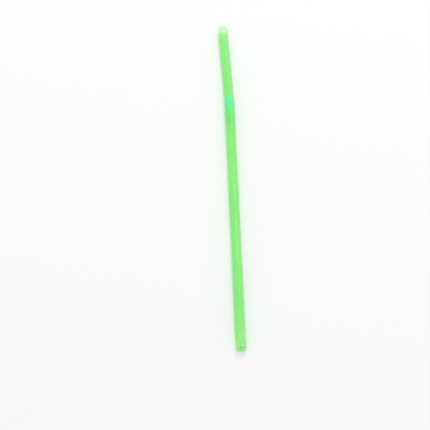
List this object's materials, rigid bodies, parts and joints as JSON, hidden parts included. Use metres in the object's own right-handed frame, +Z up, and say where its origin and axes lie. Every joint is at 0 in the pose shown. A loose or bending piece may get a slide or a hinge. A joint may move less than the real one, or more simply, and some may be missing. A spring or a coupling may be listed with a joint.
{
  "type": "flexible drinking straw",
  "caption": "Flexible drinking straw lying on its side: a thin-walled translucent mint green tube with a closed folded concertina a quarter of the way from its mouth end, and a mouth leg that leans a little.",
  "frame": {"origin": "on the surface that the straw lies on, under the middle of its box", "axes": "+Y along the long leg towards the mouth end, +Z up; the mouth leg leans 2 degrees to -X"},
  "size_m": [0.0068, 0.21, 0.005],
  "materials": {
    "straw_plastic": "thin translucent mint green polypropylene, softly glossy, with fine lengthwise extrusion lines"
  },
  "bodies": {
    "root": {"straw": "straw_plastic"}
  },
  "joints": []
}
